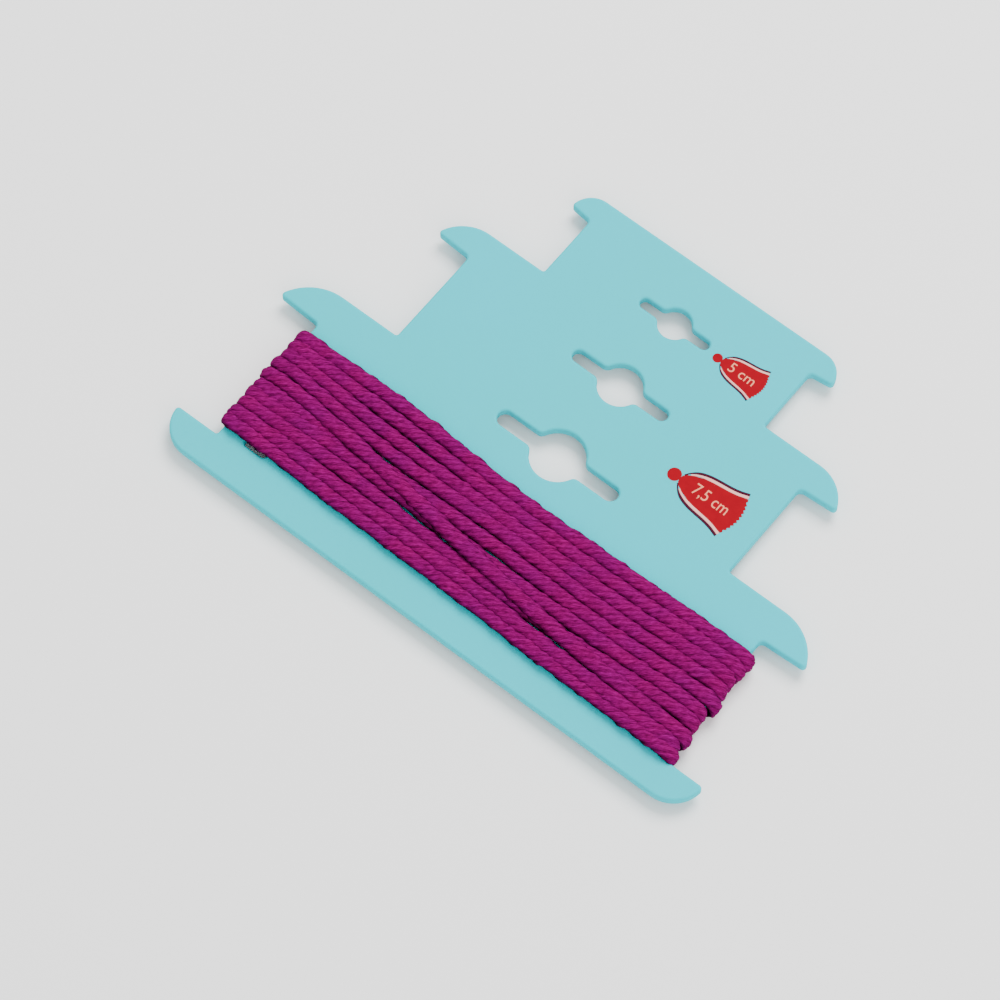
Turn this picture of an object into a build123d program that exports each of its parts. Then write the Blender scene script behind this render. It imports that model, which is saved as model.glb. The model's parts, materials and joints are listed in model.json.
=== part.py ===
"""A stepped winding plate for pompons and tassels, with a strand of yarn wound on it.

The plate is one flat piece of clear plastic with three winding notches a side.
X runs along the notches' widths, Y from the closed bar to the narrowest step, Z up.
The origin is at the middle of the underside of the whole part, yarn included.
"""

import os
from math import acos, atan, cos, degrees, pi, sin, sqrt

import numpy as np
from build123d import *

# ---- plate -------------------------------------------------------------------
plate_thickness = 2.0
edge_round = 0.5  # on the upper and lower edges all round
wing_corner_round = 1.0  # where a notch meets the wing over it
step_corner_round = 0.5  # where it meets the step below
tip_round = 0.7  # on the ends of the wings and of the bar

# winding widths, the lengths that a tassel or a pompon's loops get
small_width = 50.0
medium_width = 75.0
large_width = 100.0

# depths along Y, from the bar to the narrow end
bar_depth = 6.5
large_notch_depth = 28.3
large_wing_depth = 7.0
medium_notch_depth = 20.7
medium_wing_depth = 6.0
small_notch_depth = 13.5
small_wing_depth = 5.0

# each wing's outer corner starts at its winding width, and its underside rises outwards
bar_reach = 9.1  # past the large winding width
large_corner_radius = 10.0
medium_corner_radius = 8.1
small_corner_radius = 4.6
large_wing_rise = 0.4
medium_wing_rise = 0.4
small_wing_rise = 0.5

# keyholes: a round hole with a slot on each side
small_hole_radius = 3.15
small_slot_length = 15.4
small_slot_width = 2.1
small_hole_from_end = 12.2
medium_hole_radius = 4.2
medium_slot_length = 21.2
medium_slot_width = 2.5
medium_hole_from_end = 28.1
large_hole_radius = 5.15
large_slot_length = 26.8
large_slot_width = 3.1
large_hole_from_end = 46.1
keyhole_corner_round = 1.3

# short slot that holds the start of the yarn
yarn_slot_length = 5.0
yarn_slot_width = 1.8
yarn_slot_inset = 7.3  # its middle, in from the large notch's wall
yarn_slot_from_bar = 2.25  # its middle, from the bar

# ---- yarn --------------------------------------------------------------------
yarn_diameter = 2.0
turn_gap = 0.45  # between loops side by side
seat_gap = 0.2  # between the strand and the plate
side_gap = 0.3  # between the first loop and the bar
loops = 10
start_inset = 10.0  # the strand starts under the plate, this far in from one side
end_inset = 30.0  # and ends this far in from the other side
flat_depth = 0.5  # cut off where the winding rests
probe_step = 1.0  # between the points that the loops' gap is measured on

# ---- places that follow ------------------------------------------------------
small_half = small_width / 2
medium_half = medium_width / 2
large_half = large_width / 2

bar_bottom = -(
    bar_depth
    + large_notch_depth
    + large_wing_depth
    + medium_notch_depth
    + medium_wing_depth
    + small_notch_depth
    + small_wing_depth
) / 2
bar_top = bar_bottom + bar_depth
large_wing_under = bar_top + large_notch_depth
large_wing_top = large_wing_under + large_wing_depth
medium_wing_under = large_wing_top + medium_notch_depth
medium_wing_top = medium_wing_under + medium_wing_depth
small_wing_under = medium_wing_top + small_notch_depth
small_wing_top = small_wing_under + small_wing_depth

pitch = yarn_diameter + turn_gap
turn_radius = plate_thickness / 2 + seat_gap + yarn_diameter / 2
turn_centre = large_half - edge_round
slope = pitch / (4 * turn_centre + 2 * pi * turn_radius)  # along Y, for each mm of strand
mid_height = turn_radius + yarn_diameter / 2 - flat_depth
plate_under = mid_height - plate_thickness / 2
first_turn = bar_top + side_gap + yarn_diameter / 2


def wing_edge(half_width, top, under, radius, rise):
    """A wing's outer corner and its underside; returns the tip between them."""
    drop = top - under - rise
    turn = degrees(acos(1 - min(drop / radius, 1)))
    corner = JernArc((half_width, top), (1, 0), radius, -turn)
    Line(corner @ 1, (half_width, under))
    return corner @ 1


def keyhole(hole_radius, slot_length, slot_width):
    """A round hole with a slot on each side, its inner corners rounded."""
    with BuildSketch() as shape:
        Circle(hole_radius)
        SlotOverall(slot_length, slot_width)
        necks = [corner for corner in shape.vertices() if abs(corner.X) < hole_radius]
        fillet(necks, keyhole_corner_round)
    return shape.sketch


def corners_at(sketch, places):
    """The sketch's corners at these places, on both sides of the middle."""
    return [
        corner
        for corner in sketch.vertices()
        for place in places
        if abs(abs(corner.X) - place.X) + abs(corner.Y - place.Y) < 1e-4
    ]


def turn_between(start, start_way, end, end_way):
    """Half a turn round the plate's side, as two arcs that meet smoothly."""
    across = end - start
    ways = start_way + end_way
    bend = 4 - ways.dot(ways)
    lean = across.dot(ways)
    reach = (sqrt(lean**2 + bend * across.dot(across)) - lean) / bend
    middle = (start + end + (start_way - end_way) * reach) / 2
    first = TangentArc(start, middle, tangent=start_way)
    TangentArc(middle, end, tangent=first % 1)


def straight_runs():
    """The strand's straight runs, under and over the plate in turn, as their ends and ways."""
    lean = atan(slope)
    runs = []
    y = first_turn - 2 * turn_centre * slope
    for number in range(2 * loops + 1):
        side = 1 if number % 2 else -1  # the odd runs go over the plate, leftwards
        height = mid_height + side * turn_radius
        start = Vector(side * turn_centre, y, height)
        y += 2 * turn_centre * slope
        end = Vector(-side * turn_centre, y, height)
        y += pi * turn_radius * slope
        runs.append((start, end, Vector(-side * cos(lean), sin(lean), 0)))
    return runs


# ---- the plate ---------------------------------------------------------------
small_keyhole = keyhole(small_hole_radius, small_slot_length, small_slot_width)
medium_keyhole = keyhole(medium_hole_radius, medium_slot_length, medium_slot_width)
large_keyhole = keyhole(large_hole_radius, large_slot_length, large_slot_width)

with BuildPart() as plate:
    with BuildSketch(Plane.XY.offset(plate_under)) as outline:
        with BuildLine():
            Line((0, small_wing_top), (small_half, small_wing_top))
            small_tip = wing_edge(
                small_half, small_wing_top, small_wing_under, small_corner_radius, small_wing_rise
            )
            Polyline(
                (small_half, small_wing_under),
                (small_half, medium_wing_top),
                (medium_half, medium_wing_top),
            )
            medium_tip = wing_edge(
                medium_half,
                medium_wing_top,
                medium_wing_under,
                medium_corner_radius,
                medium_wing_rise,
            )
            Polyline(
                (medium_half, medium_wing_under),
                (medium_half, large_wing_top),
                (large_half, large_wing_top),
            )
            large_tip = wing_edge(
                large_half, large_wing_top, large_wing_under, large_corner_radius, large_wing_rise
            )
            bar_tip = Vector(large_half + bar_reach, bar_top)
            Polyline((large_half, large_wing_under), (large_half, bar_top), bar_tip)
            bar_end = JernArc(bar_tip, (0, -1), bar_depth, -90)
            Line(bar_end @ 1, (0, bar_bottom))
            mirror(about=Plane.YZ)
        make_face()
        wing_corners = [
            Vector(small_half, small_wing_under),
            Vector(medium_half, medium_wing_under),
            Vector(large_half, large_wing_under),
        ]
        step_corners = [
            Vector(small_half, medium_wing_top),
            Vector(medium_half, large_wing_top),
            Vector(large_half, bar_top),
        ]
        fillet(corners_at(outline, wing_corners), wing_corner_round)
        fillet(corners_at(outline, step_corners), step_corner_round)
        fillet(corners_at(outline, [small_tip, medium_tip, large_tip, bar_tip]), tip_round)
        with Locations((0, small_wing_top - small_hole_from_end)):
            add(small_keyhole, mode=Mode.SUBTRACT)
        with Locations((0, small_wing_top - medium_hole_from_end)):
            add(medium_keyhole, mode=Mode.SUBTRACT)
        with Locations((0, small_wing_top - large_hole_from_end)):
            add(large_keyhole, mode=Mode.SUBTRACT)
        with Locations((yarn_slot_inset - large_half, bar_top + yarn_slot_from_bar)):
            SlotOverall(yarn_slot_length, yarn_slot_width, mode=Mode.SUBTRACT)
    extrude(amount=plate_thickness)
    fillet(plate.faces().filter_by(Axis.Z).edges(), edge_round)
plate.part.label = "winding_plate"

# ---- the yarn ----------------------------------------------------------------
with BuildPart() as yarn:
    with BuildLine() as strand:
        runs = straight_runs()
        for number, (start, end, way) in enumerate(runs):
            if number == 0:
                start = start + way * (start_inset - edge_round)
            if number == len(runs) - 1:
                end = end - way * (end_inset - edge_round)
            Line(start, end)
            if number < len(runs) - 1:
                next_start, _, next_way = runs[number + 1]
                turn_between(end, way, next_start, next_way)
    with BuildSketch(Plane(origin=strand.line @ 0, z_dir=strand.line % 0)):
        Circle(yarn_diameter / 2)
    sweep(path=strand.line)
    swept_volume = yarn.part.volume
    split(bisect_by=Plane.XY, keep=Keep.TOP)
yarn.part.label = "yarn_winding"

os.makedirs("parts", exist_ok=True)
export_step(plate.part, "parts/winding_plate.step")
export_step(yarn.part, "parts/yarn_winding.step")

# ---- measures ----------------------------------------------------------------
points = []
along = []
passed = 0.0
for edge in strand.line.edges():
    steps = max(int(edge.length / probe_step), 8)
    for step in range(steps):
        points.append(tuple(edge @ (step / steps)))
        along.append(passed + edge.length * step / steps)
    passed += edge.length
points = np.array(points)
along = np.array(along)
least = min(
    np.linalg.norm(points - point, axis=1)[np.abs(along - here) > 2 * pitch].min()
    for point, here in zip(points, along)
)
print(f"strand: {passed:.1f} mm")
print(f"least gap of the strand to itself: {least - yarn_diameter:.3f} mm")
section = pi * (yarn_diameter / 2) ** 2
print(f"swept volume over section times length: {swept_volume / (section * passed):.5f}")
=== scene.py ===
import json
import math

import bpy
import numpy as np
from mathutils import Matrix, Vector

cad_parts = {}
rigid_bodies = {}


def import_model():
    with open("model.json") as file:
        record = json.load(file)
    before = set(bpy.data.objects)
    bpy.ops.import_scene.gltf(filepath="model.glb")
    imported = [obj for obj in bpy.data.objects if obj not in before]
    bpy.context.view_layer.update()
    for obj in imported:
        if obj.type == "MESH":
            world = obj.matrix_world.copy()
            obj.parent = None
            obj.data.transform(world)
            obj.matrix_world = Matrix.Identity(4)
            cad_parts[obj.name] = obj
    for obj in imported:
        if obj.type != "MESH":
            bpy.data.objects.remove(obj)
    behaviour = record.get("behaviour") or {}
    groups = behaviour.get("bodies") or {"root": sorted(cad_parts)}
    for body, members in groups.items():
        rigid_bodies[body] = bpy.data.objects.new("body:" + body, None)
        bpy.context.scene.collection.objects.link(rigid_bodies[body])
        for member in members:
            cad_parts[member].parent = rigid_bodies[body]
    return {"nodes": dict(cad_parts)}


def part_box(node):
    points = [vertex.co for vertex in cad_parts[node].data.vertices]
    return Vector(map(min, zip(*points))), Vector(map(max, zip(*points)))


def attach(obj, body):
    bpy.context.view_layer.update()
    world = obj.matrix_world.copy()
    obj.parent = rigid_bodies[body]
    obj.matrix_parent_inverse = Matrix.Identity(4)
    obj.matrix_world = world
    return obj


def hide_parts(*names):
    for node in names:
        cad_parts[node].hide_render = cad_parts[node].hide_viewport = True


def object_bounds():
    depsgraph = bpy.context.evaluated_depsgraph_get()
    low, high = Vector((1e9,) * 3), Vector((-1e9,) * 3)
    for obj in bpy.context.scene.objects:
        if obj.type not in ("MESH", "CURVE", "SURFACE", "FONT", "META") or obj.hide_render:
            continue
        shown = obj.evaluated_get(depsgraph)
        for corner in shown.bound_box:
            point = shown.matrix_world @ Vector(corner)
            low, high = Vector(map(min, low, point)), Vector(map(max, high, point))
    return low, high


mm = 0.001
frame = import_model()
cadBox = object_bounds()
plateLow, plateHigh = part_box("winding_plate")
plateMiddle = (plateLow.z + plateHigh.z) / 2


def deselectAll():
    for item in bpy.context.view_layer.objects.selected:
        item.select_set(False)
    bpy.context.view_layer.objects.active = None


def makeActive(piece):
    deselectAll()
    piece.select_set(True)
    bpy.context.view_layer.objects.active = piece


def addObject(name, data):
    piece = bpy.data.objects.new(name, data)
    bpy.context.scene.collection.objects.link(piece)
    return piece


def newMaterial(name, settings):
    material = bpy.data.materials.new(name)
    material.use_nodes = True
    shader = material.node_tree.nodes["Principled BSDF"]
    for socket, value in settings.items():
        shader.inputs[socket].default_value = value
    return material, shader


def connect(material, source, target):
    material.node_tree.links.new(source, target)


def objectPlace(material):
    return material.node_tree.nodes.new("ShaderNodeTexCoord").outputs["Object"]


def addNoise(material, vector, scale, detail=2.0, roughness=0.5):
    noise = material.node_tree.nodes.new("ShaderNodeTexNoise")
    noise.inputs["Scale"].default_value = scale
    noise.inputs["Detail"].default_value = detail
    noise.inputs["Roughness"].default_value = roughness
    connect(material, vector, noise.inputs["Vector"])
    return noise.outputs["Fac"]


def addRamp(material, value, stops):
    # stops are pairs of a position and a colour, at least two
    ramp = material.node_tree.nodes.new("ShaderNodeValToRGB")
    elements = ramp.color_ramp.elements
    while len(elements) < len(stops):
        elements.new(0.5)
    for element, (place, colour) in zip(elements, stops):
        element.position = place
        element.color = (*colour, 1)
    connect(material, value, ramp.inputs["Fac"])
    return ramp.outputs["Color"]


def addMultiply(material, first, second, share):
    mix = material.node_tree.nodes.new("ShaderNodeMix")
    mix.data_type = "RGBA"
    mix.blend_type = "MULTIPLY"
    mix.inputs["Factor"].default_value = share
    connect(material, first, mix.inputs["A"])
    connect(material, second, mix.inputs["B"])
    return mix.outputs["Result"]


def addRoughness(material, shader, value, least, most):
    spread = material.node_tree.nodes.new("ShaderNodeMapRange")
    spread.inputs["To Min"].default_value = least
    spread.inputs["To Max"].default_value = most
    connect(material, value, spread.inputs["Value"])
    connect(material, spread.outputs["Result"], shader.inputs["Roughness"])


def addBump(material, shader, height, strength, depth):
    bump = material.node_tree.nodes.new("ShaderNodeBump")
    bump.inputs["Strength"].default_value = strength
    bump.inputs["Distance"].default_value = depth * mm
    connect(material, height, bump.inputs["Height"])
    connect(material, bump.outputs["Normal"], shader.inputs["Normal"])


print("camera")

camera = {
    "azimuth": 38.63,
    "elevation": 63.82,
    "distance": 885 * mm,
    "aim": (-3.1 * mm, -15.1 * mm, 1.6 * mm),
    "lens": 180,
    "sensor": 36,
    "near": 0.01,
    "far": 20,
}


def addCamera():
    around = math.radians(camera["azimuth"])
    up = math.radians(camera["elevation"])
    flat = math.cos(up)
    back = Vector((math.sin(around) * flat, -math.cos(around) * flat, math.sin(up)))
    bpy.ops.object.camera_add(location=Vector(camera["aim"]) + back * camera["distance"])
    eye = bpy.context.object
    eye.name = "photoCamera"
    eye.rotation_mode = "QUATERNION"
    eye.rotation_quaternion = (-back).to_track_quat("-Z", "Y")
    eye.data.lens = camera["lens"]
    eye.data.sensor_width = camera["sensor"]
    eye.data.clip_start = camera["near"]
    eye.data.clip_end = camera["far"]
    bpy.context.scene.camera = eye


addCamera()


print("yarn")

# sizes in mm
yarn = {
    "thickness": 2.2,  # of the strand where it lies over the plate
    "width": 3.0,
    "lift": 2.1,  # from the middle of the plate to the strand on its top
    "under": 1.75,  # the same under the plate
    "turnAt": 50.0,  # X where the strand starts to bend round a side
    "reach": 50.6,  # centre of the strand at the plate's sides
    "turnTop": 1.0,  # how far a turn's outer points lie below the strand on top
    "turnBottom": 0.9,  # and above the one under the plate
    "plateEdge": 49.5,  # X that a turn bends round
    "sideThickness": 1.35,  # pressed where it bends round a side
    "sideEase": 0.3,  # what it regains half way round the bend
    "clearance": 0.03,  # to the plate and to the table, under the plate
    "lowest": 0.02,  # over the table
    "endCap": 0.5,  # how far its two ends bulge
    "ridges": 6,
    "ridgeDepth": 0.12,
    "lead": -11.0,  # of the twist, left-handed
    "step": 1.0,  # between rings
    "smoothing": 5,  # rings that its thickness is averaged over
    "downward": -0.8,  # a ring facing further down than this lies under the plate
    "fibreRadius": 1.2,  # of the round strand that the fibres are placed on
    "seed": 5,
    # how much each varies either way, and every how many rings
    "swell": (0.05, 7),  # share of the whole strand's size
    "plySwell": (0.15, 3),  # share of one ply's
    "twistSlip": (0.4, 5),  # radians of twist
}

# each run over the plate, from the bar up: its Y at these X, and how far it is lifted there;
# the third one crosses the next three
stations = (45, 25, 0, -25, -45)
topRuns = [
    ((-35.9, -35.7, -34.9, -34.5, -33.9), (0, 0, 0, 0, 0)),
    ((-34.3, -33.8, -32.8, -32.2, -31.8), (0.4, 0.4, 0.4, 0.3, 0.3)),
    ((-31.8, -31.0, -27.9, -24.4, -22.4), (0.4, 0.8, 1.05, 1.0, 0.6)),
    ((-28.8, -30.2, -30.6, -29.1, -29.3), (0.1, 0, -0.1, 0.2, 0.1)),
    ((-26.4, -27.3, -27.2, -26.3, -27.0), (0.2, 0.3, 0, 0.1, 0)),
    ((-23.7, -24.8, -23.9, -24.6, -25.0), (0.1, 0.1, 0.2, -0.1, 0)),
    ((-20.9, -22.2, -21.0, -21.7, -19.6), (0.1, 0.3, 0.3, 0.1, 0.2)),
    ((-18.4, -19.5, -18.9, -18.8, -17.2), (0.2, 0.2, 0.1, 0.2, -0.1)),
    ((-15.9, -16.6, -16.7, -15.5, -15.2), (0.1, 0, 0.2, 0, 0.1)),
    ((-13.5, -13.9, -14.3, -12.5, -12.9), (0, 0, 0, 0, 0)),
]
crossingRun = 2
# how far each run's turn stands out from the plate's side, right and left
rightSlack = (1.3, 0.3, 1.1, 0.3, 0.1, 1.2, 0.3, 0.1, 0.4, 0.5)
leftSlack = (0.0, 0.1, 0.5, 0.0, 0.2, 0.0, 0.5, 0.0, 0.1, 0.2)

# under the plate: X and Y of the first run, X of the later ones and X of the last
startRun = ((-40, -36.9), (-25, -36.9), (0, -36.8), (25, -36.8), (45, -36.8))
backStations = (-42, -20, 5, 30, 45)
endStations = (-42, -20, 0, 20)
rightShift = -0.3  # along Y from the end of a run under the plate to the next one over it
leftShift = 0.9  # along Y round the left side
slotShift = 1.5  # the same for the first turn, which keeps clear of the short slot
endShift = 1.2  # along Y over the last run
crossingDrop = -0.35  # of the run under the plate after the crossing one

strandOver = plateMiddle / mm + yarn["lift"]
strandUnder = plateMiddle / mm - yarn["under"]

# valley, shoulder, crown and shoulder of a ply: its depth, its share in the ply's swelling, and
# its value in the "ply" attribute, which the material turns into painted shade in the valleys
# and a painted highlight on the crowns
plyDepth = np.array([1, 0.25, 0, 0.25])
plyShare = np.array([0, 0.7, 1, 0.7])
plyLevel = np.array([0.0, 0.75, 1.0, 0.75])
endLevel = 0.2  # the same at its two cut ends, kept low so that they are painted in shade


def sideTurn(side, slack, fromY, toY):
    # control points round one side of the plate, up round the right and down round the left
    reach = yarn["reach"] + slack
    places = [
        (yarn["turnAt"], strandOver),
        (reach, strandOver - yarn["turnTop"]),
        (reach, strandUnder + yarn["turnBottom"]),
        (yarn["turnAt"], strandUnder),
    ]
    if side > 0:
        places.reverse()
    # of the way from one Y to the other
    shares = (0.0, 0.25, 0.75, 1.0)
    return [(side * x, fromY + (toY - fromY) * part, z) for (x, z), part in zip(places, shares)]


def yarnRoute():
    points = [(x, y, strandUnder) for x, y in startRun]
    last = len(topRuns) - 1
    for number, (lanes, heights) in enumerate(topRuns):
        points += sideTurn(1, rightSlack[number], lanes[0] + rightShift, lanes[0])
        for x, y, height in zip(stations, lanes, heights):
            points.append((x, y, strandOver + height))
        start = lanes[-1] + (slotShift if number == 0 else leftShift)
        points += sideTurn(-1, leftSlack[number], lanes[-1], start)
        # back under the plate to the next run's right end
        goal = topRuns[number + 1][0][0] + rightShift if number < last else lanes[-1] + endShift
        drop = crossingDrop if number == crossingRun else 0.0
        for x in backStations if number < last else endStations:
            part = (x + yarn["turnAt"]) / (2 * yarn["turnAt"])
            points.append((x, start + (goal - start) * part, strandUnder + drop))
    return points


def readCentreline(points):
    # the smooth line that a NURBS spline makes of the points, in metres
    curve = bpy.data.curves.new("yarnRoute", "CURVE")
    curve.dimensions = "3D"
    curve.resolution_u = 8
    spline = curve.splines.new("NURBS")
    spline.points.add(len(points) - 1)
    for point, place in zip(spline.points, points):
        point.co = (*[value * mm for value in place], 1)
    spline.order_u = 3
    spline.use_endpoint_u = True
    holder = addObject("yarnRoute", curve)
    bpy.context.view_layer.update()
    mesh = bpy.data.meshes.new_from_object(holder)
    line = np.array([vertex.co for vertex in mesh.vertices])
    bpy.data.objects.remove(holder)
    bpy.data.meshes.remove(mesh)
    bpy.data.curves.remove(curve)
    return line


def evenSteps(line, step):
    lengths = np.r_[0, np.cumsum(np.linalg.norm(np.diff(line, axis=0), axis=1))]
    along = np.linspace(0, lengths[-1], int(lengths[-1] / step) + 1)
    places = [np.interp(along, lengths, line[:, axis]) for axis in range(3)]
    return np.stack(places, axis=1), along


def strandWays(rings):
    # along the strand, away from the plate (up, outwards or down), and across both
    ways = np.gradient(rings, axis=0)
    ways /= np.linalg.norm(ways, axis=1)[:, None]
    edge = yarn["plateEdge"] * mm
    core = rings.copy()
    core[:, 0] = np.clip(rings[:, 0], -edge, edge)
    core[:, 2] = plateMiddle
    away = rings - core
    away -= ways * np.sum(away * ways, axis=1)[:, None]
    away /= np.linalg.norm(away, axis=1)[:, None]
    return ways, away, np.cross(ways, away)


def halfThickness(rings, away):
    # pressed at a side, and by the room over the table under the plate
    room = np.minimum(rings[:, 2], plateLow.z - rings[:, 2]) / mm - yarn["clearance"]
    pressed = yarn["sideThickness"] / 2
    half = np.interp(
        np.abs(away[:, 2]),
        (0, 0.5, 1),
        (pressed, pressed + yarn["sideEase"] / 2, yarn["thickness"] / 2),
    )
    half = np.where(away[:, 2] < yarn["downward"], np.minimum(half, room), half)
    count = yarn["smoothing"]
    padded = np.pad(half, count // 2, mode="edge")
    return np.convolve(padded, np.ones(count) / count, mode="valid")


def strandSection(along):
    # how far each point of each ring stands out, as a share, and its angle
    chance = np.random.default_rng(yarn["seed"])

    def drawn(spread, every, columns=None):
        places = along[::every]
        shape = len(places) if columns is None else (len(places), columns)
        values = chance.uniform(-spread, spread, shape)
        if columns is None:
            return np.interp(along, places, values)
        return np.stack([np.interp(along, places, column) for column in values.T], axis=1)

    plies = yarn["ridges"]
    swell = 1 + drawn(*yarn["swell"])
    cut = yarn["ridgeDepth"] / (yarn["thickness"] / 2)
    profile = np.tile(1 - cut * plyDepth, plies)
    swollen = np.repeat(drawn(*yarn["plySwell"], plies), len(plyShare), axis=1)
    profile = profile[None, :] + swollen * np.tile(plyShare, plies)
    sides = plies * len(plyDepth)
    angles = 2 * math.pi * np.arange(sides) / sides
    turn = 2 * math.pi * along / (yarn["lead"] * mm) + drawn(*yarn["twistSlip"])
    return profile * swell[:, None], angles, angles[None, :] + turn[:, None]


def tubeFaces(count, sides):
    # the tube's walls, then a fan over each end; the two middles come after the rings
    faces = []
    tail = (count - 1) * sides
    first = count * sides
    for side in range(sides):
        beside = (side + 1) % sides
        for here in range(0, tail, sides):
            above = here + sides
            faces.append((here + side, here + beside, above + beside, above + side))
        faces.append((beside, side, first))
        faces.append((tail + side, tail + beside, first + 1))
    return faces


def setPointValues(mesh, name, kind, values):
    layer = mesh.attributes.new(name, kind, "POINT")
    layer.data.foreach_set("vector" if kind == "FLOAT_VECTOR" else "value", np.ravel(values))


def buildYarn():
    rings, along = evenSteps(readCentreline(yarnRoute()), yarn["step"] * mm)
    count = len(rings)
    ways, away, across = strandWays(rings)
    profile, angles, theta = strandSection(along)
    sides = len(angles)
    outwards = np.cos(theta) * profile * (halfThickness(rings, away) * mm)[:, None]
    sideways = np.sin(theta) * profile * (yarn["width"] / 2 * mm)
    shell = rings[:, None, :] + away[:, None, :] * outwards[..., None]
    shell += across[:, None, :] * sideways[..., None]
    shell = shell.reshape(-1, 3)
    shell[:, 2] = np.maximum(shell[:, 2], cadBox[0].z + yarn["lowest"] * mm)
    bulge = yarn["endCap"] * mm
    vertices = np.vstack([shell, rings[0] - ways[0] * bulge, rings[-1] + ways[-1] * bulge])
    mesh = bpy.data.meshes.new("woundYarn")
    mesh.from_pydata(vertices.tolist(), [], tubeFaces(count, sides))
    mesh.update()
    # ply: 0 in a valley and 1 on a crown of the twist
    level = np.tile(np.tile(plyLevel, yarn["ridges"]), count)
    setPointValues(mesh, "ply", "FLOAT", np.r_[level, endLevel, endLevel])
    # crown: 1 on the strand's outer side and 0 where it faces the plate; the material paints
    # shade on the sides from it
    setPointValues(mesh, "crown", "FLOAT", np.r_[(0.5 + 0.5 * np.cos(theta)).ravel(), 0.5, 0.5])
    # strand: how far along in mm, and the place round it
    placed = np.zeros((len(vertices), 3))
    placed[:-2, 0] = np.repeat(along / mm, sides)
    placed[:-2, 1] = np.tile(np.cos(angles) * yarn["fibreRadius"], count)
    placed[:-2, 2] = np.tile(np.sin(angles) * yarn["fibreRadius"], count)
    placed[-2:, 0] = (along[0] / mm, along[-1] / mm)
    setPointValues(mesh, "strand", "FLOAT_VECTOR", placed)
    for polygon in mesh.polygons:
        polygon.use_smooth = True
    return addObject("woundYarn", mesh), rings, along


yarnLook = {
    # steps from painted shade in the twist's valleys (deep, dark) to a painted highlight on lit
    # crowns (light); the fibres' random tone spreads over the same steps
    "deep": (0.008, 0.0, 0.010),
    "dark": (0.058, 0.0, 0.026),
    "shadedDye": (0.155, 0.0, 0.074),
    "light": (0.28, 0.0, 0.16),
    "paintedSideShade": (0.05, 0.02, 0.08),  # painted shade: what the sides of a strand, and the side facing the plate, keep of their colour
    "cool": (0.75, 0.8, 1.0),  # slow change of dye along the strand, from one to the other
    "warm": (1.0, 1.0, 0.85),
    "drift": 0.5,  # how strong it is
    "fibreStretch": (0.6, 3.4, 3.4),  # fibres run nearly along the strand
    "fibreContrast": 1.34,
    # painted shade: how much darker the twist's valleys are, and how much darker all of the yarn
    # is made
    "plyShadeContrast": 0.16,
    "darker": -0.18,
    "fuzz": 0.15,  # mm, depth of the fibres
}


def yarnMaterial():
    material, shader = newMaterial("yarnAcrylic", {
        "Roughness": 0.85,
        "Sheen Weight": 0.03,
        "Sheen Roughness": 0.4,
        "Sheen Tint": (0.9, 0.0, 0.6, 1),
        "Specular IOR Level": 0.02,
    })
    nodes = material.node_tree.nodes
    strand, ply, crown = [nodes.new("ShaderNodeAttribute") for each in range(3)]
    strand.attribute_name = "strand"
    ply.attribute_name = "ply"
    crown.attribute_name = "crown"
    stretch = nodes.new("ShaderNodeMapping")
    stretch.inputs["Scale"].default_value = yarnLook["fibreStretch"]
    connect(material, strand.outputs["Vector"], stretch.inputs["Vector"])
    fibres = addNoise(material, stretch.outputs["Vector"], scale=2.0, detail=5, roughness=0.6)
    paintedPlyShade, depth = [nodes.new("ShaderNodeMath") for each in range(2)]
    paintedPlyShade.operation = depth.operation = "MULTIPLY_ADD"
    paintedPlyShade.inputs[1].default_value = yarnLook["plyShadeContrast"]
    paintedPlyShade.inputs[2].default_value = yarnLook["darker"]
    depth.inputs[1].default_value = yarnLook["fibreContrast"]
    connect(material, ply.outputs["Fac"], paintedPlyShade.inputs[0])
    connect(material, fibres, depth.inputs[0])
    connect(material, paintedPlyShade.outputs["Value"], depth.inputs[2])
    # painted shade in the twist's valleys and painted highlight on its crowns, mixed with the
    # fibres' random tone
    shadedDye = addRamp(material, depth.outputs["Value"], [
        (0.12, yarnLook["deep"]),
        (0.34, yarnLook["dark"]),
        (0.60, yarnLook["shadedDye"]),
        (0.92, yarnLook["light"]),
    ])
    # painted shade: darkens the strand's sides and the side facing the plate, from the crown
    # attribute
    side = addRamp(material, crown.outputs["Fac"], [
        (0.46, yarnLook["paintedSideShade"]),
        (0.84, (1.0, 1.0, 1.0)),
    ])
    slow = addNoise(material, strand.outputs["Vector"], scale=0.12)
    drift = addRamp(material, slow, [
        (0.35, yarnLook["cool"]),
        (0.65, yarnLook["warm"]),
    ])
    shaded = addMultiply(material, shadedDye, side, 1.0)
    tinted = addMultiply(material, shaded, drift, yarnLook["drift"])
    connect(material, tinted, shader.inputs["Base Color"])
    addBump(material, shader, fibres, strength=0.6, depth=yarnLook["fuzz"])
    return material


woundYarn, yarnRings, yarnAlong = buildYarn()
woundYarn.data.materials.append(yarnMaterial())
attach(woundYarn, "root")
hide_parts("yarn_winding")
print("yarn length", round(float(yarnAlong[-1]), 4))


print("plate")

plateLook = {
    "colour": (0.0, 0.50, 0.59),
    "deep": (0.0, 0.49, 0.55),
    "roughness": (0.39, 0.53),  # least and most
    "grain": 0.02,  # mm, depth of the moulded surface's fine texture
}


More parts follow.
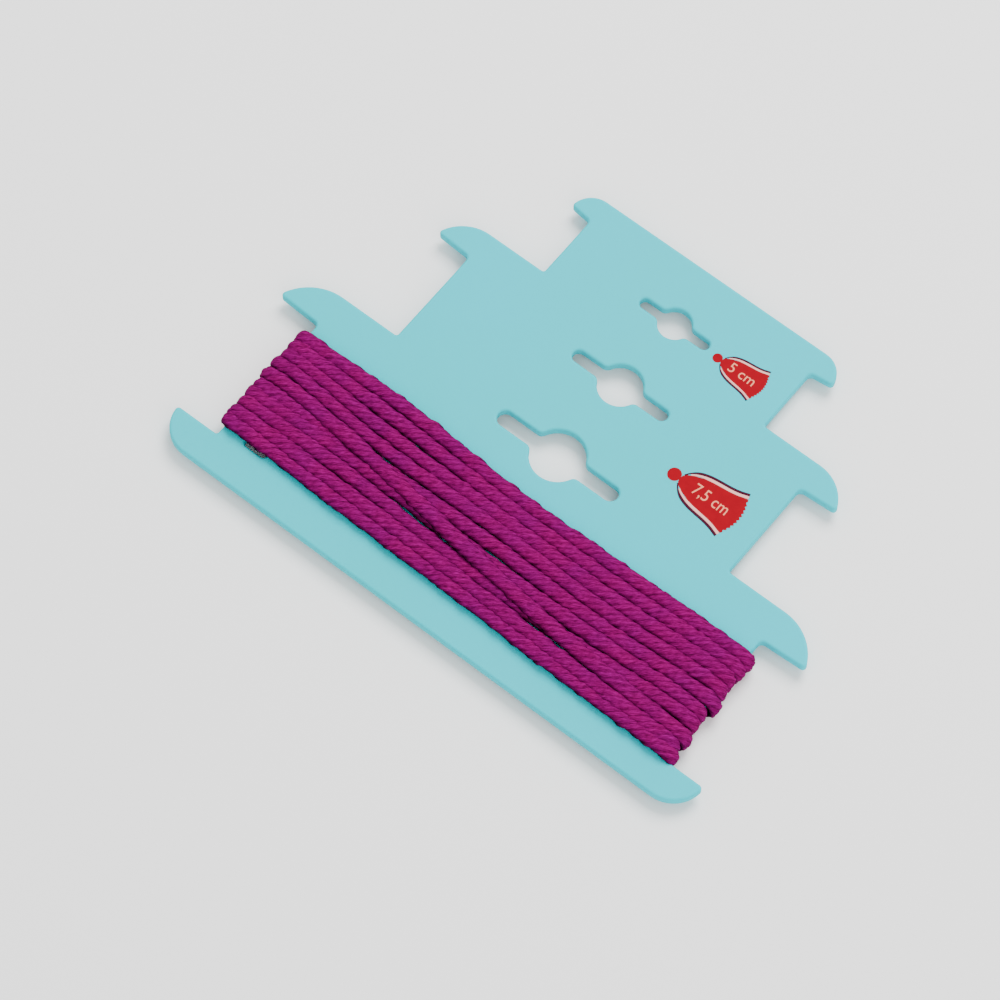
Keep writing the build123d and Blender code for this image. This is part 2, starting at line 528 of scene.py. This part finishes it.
def plateMaterial():
    material, shader = newMaterial("turquoisePlastic", {
        "Specular IOR Level": 0.05,
        "IOR": 1.49,
        "Subsurface Weight": 0.18,
        "Subsurface Scale": 0.0012,
        "Subsurface Radius": (0.1, 1.0, 1.0),
    })
    place = objectPlace(material)
    cloud = addNoise(material, place, scale=28, detail=3)
    tone = addRamp(material, cloud, [(0.3, plateLook["deep"]), (0.7, plateLook["colour"])])
    connect(material, tone, shader.inputs["Base Color"])
    addRoughness(material, shader, cloud, *plateLook["roughness"])
    grain = addNoise(material, place, scale=1600, detail=4)
    addBump(material, shader, grain, strength=0.25, depth=plateLook["grain"])
    return material


plate = frame["nodes"]["winding_plate"]
plate.data.materials.clear()
plate.data.materials.append(plateMaterial())


print("ink marks")

# a tassel figure beside each of the two smaller steps, with the step's length on it; sizes in mm
marks = [
    {
        "name": "markLong",
        "words": "7,5 cm",
        "place": (18.5, 7.35),
        "scale": 1.0,
        "wordsAt": (8.1, 0.0),
        "wordsSize": (7.4, 2.7),
    },
    {
        "name": "markShort",
        "words": "5 cm",
        "place": (10.3, 30.55),
        "scale": 0.71,
        "wordsAt": (7.7, 0.0),
        "wordsSize": (7.7, 2.8),
    },
]

# half widths of the figure along its length, at scale 1
skirtEdge = [
    (1.3, 0.7), (1.7, 1.2), (2.9, 1.9), (4.5, 2.5),
    (5.6, 2.82), (8.0, 3.1), (10.3, 3.45), (13.3, 4.15),
]
cordEdge = [
    (1.5, 1.0), (2.3, 2.05), (3.5, 2.9), (5.3, 3.55),
    (7.3, 3.87), (9.5, 4.12), (11.2, 4.45), (13.0, 5.05),
]

ink = {
    "layer": 0.006,  # between one colour and the next
    "skirtPoints": 24,
    "hemTeeth": 11,
    "toothDepth": 0.35,
    "hemBulge": 1.2,
    "ballRadius": 1.33,
    "ballPoints": 28,
    "stripeRadius": 0.34,
    "stripeShift": 0.12,  # of the pale stripe from the outer line, along the figure
    "stripeInset": 0.2,  # and inwards
    "stripeMoreInset": 0.36,  # more of it where the figure is full width
    "stripeFrom": 1.0,  # where that starts
    "stripeWidening": 4.0,  # length that it takes
    "lineRadius": 0.26,
    "thinStart": 0.55,  # share of the radius at a line's first two points
    "red": (0.27, 0.0, 0.008),
    "maroon": (0.055, 0.004, 0.018),
    "pale": (0.80, 0.40, 0.36),
    "words": (0.80, 0.26, 0.16),
    "speckle": 0.9,  # share of its colour that the ink's darker specks have
}


def inkMaterial(name, colour):
    material, shader = newMaterial(name, {"Specular IOR Level": 0.02})
    speckle = addNoise(material, objectPlace(material), scale=900)
    darker = [value * ink["speckle"] for value in colour]
    tone = addRamp(material, speckle, [(0.3, darker), (0.7, colour)])
    connect(material, tone, shader.inputs["Base Color"])
    addRoughness(material, shader, speckle, least=0.4, most=0.55)
    return material


def finishInk(shape, name, mark, layer, material):
    # a flat curve or words, made a thin film of ink on the plate
    makeActive(shape)
    bpy.ops.object.convert(target="MESH")
    film = bpy.context.object
    film.name = name
    size = mark["scale"] * mm
    low = plateHigh.z
    high = plateHigh.z + layer * ink["layer"] * mm
    highest = max(vertex.co.z for vertex in film.data.vertices)
    for vertex in film.data.vertices:
        x, y, z = vertex.co
        vertex.co = (
            mark["place"][0] * mm + x * size,
            mark["place"][1] * mm + y * size,
            high if z > 0.5 * highest else low,
        )
    film.data.materials.clear()
    film.data.materials.append(material)
    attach(film, "root")


def filledShape(outline):
    curve = bpy.data.curves.new("inkShape", "CURVE")
    curve.dimensions = "2D"
    spline = curve.splines.new("POLY")
    spline.points.add(len(outline) - 1)
    for point, (x, y) in zip(spline.points, outline):
        point.co = (x, y, 0, 1)
    spline.use_cyclic_u = True
    curve.fill_mode = "BOTH"
    curve.extrude = 0.1
    return addObject("inkShape", curve)


def drawnLine(places, radius):
    curve = bpy.data.curves.new("inkShape", "CURVE")
    curve.dimensions = "3D"
    spline = curve.splines.new("BEZIER")
    spline.bezier_points.add(len(places) - 1)
    for number, (point, (x, y)) in enumerate(zip(spline.bezier_points, places)):
        point.co = (x, y, 0)
        point.handle_left_type = point.handle_right_type = "AUTO"
        point.radius = ink["thinStart"] if number < 2 else 1.0
    curve.bevel_depth = radius
    curve.bevel_resolution = 1
    curve.use_fill_caps = True
    curve.resolution_u = 6
    return addObject("inkShape", curve)


def skirtOutline():
    xs, ys = zip(*skirtEdge)
    places = np.linspace(xs[0], xs[-1], ink["skirtPoints"])
    upper = list(zip(places, np.interp(places, xs, ys)))
    end, half = skirtEdge[-1]
    hem = []
    for number in range(1, 2 * ink["hemTeeth"]):
        y = half * (1 - number / ink["hemTeeth"])
        bulge = ink["hemBulge"] * (1 - (y / half) ** 2)
        hem.append((end + bulge - (0.0 if number % 2 else ink["toothDepth"]), y))
    return upper + hem + [(x, -y) for x, y in reversed(upper)]


def ballOutline():
    radius = ink["ballRadius"]
    turns = [2 * math.pi * number / ink["ballPoints"] for number in range(ink["ballPoints"])]
    return [(radius * math.cos(turn), radius * math.sin(turn)) for turn in turns]


def stripePlaces():
    # inside the outer line, further in as the figure widens
    places = []
    for x, y in cordEdge[1:]:
        widened = min(1, (x - ink["stripeFrom"]) / ink["stripeWidening"])
        inset = ink["stripeInset"] + ink["stripeMoreInset"] * widened
        places.append((x + ink["stripeShift"], y - inset))
    return places


def wordsShape(mark):
    bpy.ops.object.text_add()
    words = bpy.context.object
    words.data.body = mark["words"]
    words.data.align_x = "CENTER"
    words.data.align_y = "CENTER"
    words.data.extrude = 0.05
    bpy.context.view_layer.update()
    fit = [wanted / natural for wanted, natural in zip(mark["wordsSize"], words.dimensions)]
    makeActive(words)
    bpy.ops.object.convert(target="MESH")
    words = bpy.context.object
    for vertex in words.data.vertices:
        vertex.co.x = vertex.co.x * fit[0] + mark["wordsAt"][0]
        vertex.co.y = vertex.co.y * fit[1] + mark["wordsAt"][1]
    return words


inkRed = inkMaterial("redInk", ink["red"])
inkMaroon = inkMaterial("maroonInk", ink["maroon"])
inkPale = inkMaterial("paleInk", ink["pale"])
inkWords = inkMaterial("warmInk", ink["words"])


def addMark(mark):
    name = mark["name"]
    finishInk(filledShape(skirtOutline()), name, mark, 1, inkRed)
    finishInk(filledShape(ballOutline()), name + "Ball", mark, 2, inkRed)
    for side in (1, -1):
        stripe = [(x, side * y) for x, y in stripePlaces()]
        line = [(x, side * y) for x, y in cordEdge]
        finishInk(drawnLine(stripe, ink["stripeRadius"]), name + "Stripe", mark, 2, inkPale)
        finishInk(drawnLine(line, ink["lineRadius"]), name + "Line", mark, 3, inkMaroon)
    finishInk(wordsShape(mark), name + "Words", mark, 4, inkWords)


for mark in marks:
    addMark(mark)


print("floor and lights")

studio = {
    "floorSize": 3,  # m
    "floorColour": (0.92, 0.92, 0.92, 1),
    "lights": [
        {"name": "keyLight", "place": (-0.05, 0.55, 0.85), "size": 0.6, "power": 15},
        {"name": "fillLight", "place": (0.9, -0.5, 0.9), "size": 1.2, "power": 11},
    ],
    "sky": (1, 1, 1, 1),
    "skyStrength": 1.05,
}


def addFloor():
    deselectAll()
    bpy.ops.mesh.primitive_plane_add(size=studio["floorSize"], location=(0, 0, cadBox[0].z))
    floor = bpy.context.object
    floor.name = "floor"
    material, _ = newMaterial("paleFloor", {
        "Base Color": studio["floorColour"],
        "Roughness": 0.9,
        "Specular IOR Level": 0.1,
    })
    floor.data.materials.append(material)


def addLight(light):
    place = Vector(light["place"])
    bpy.ops.object.light_add(type="AREA", location=place)
    lamp = bpy.context.object
    lamp.name = light["name"]
    lamp.data.size = light["size"]
    lamp.data.energy = light["power"]
    lamp.rotation_mode = "QUATERNION"
    lamp.rotation_quaternion = (-place).to_track_quat("-Z", "Y")


def addSky():
    world = bpy.data.worlds.new("studio")
    bpy.context.scene.world = world
    world.use_nodes = True
    background = world.node_tree.nodes["Background"]
    background.inputs["Color"].default_value = studio["sky"]
    background.inputs["Strength"].default_value = studio["skyStrength"]


addFloor()
for light in studio["lights"]:
    addLight(light)
addSky()
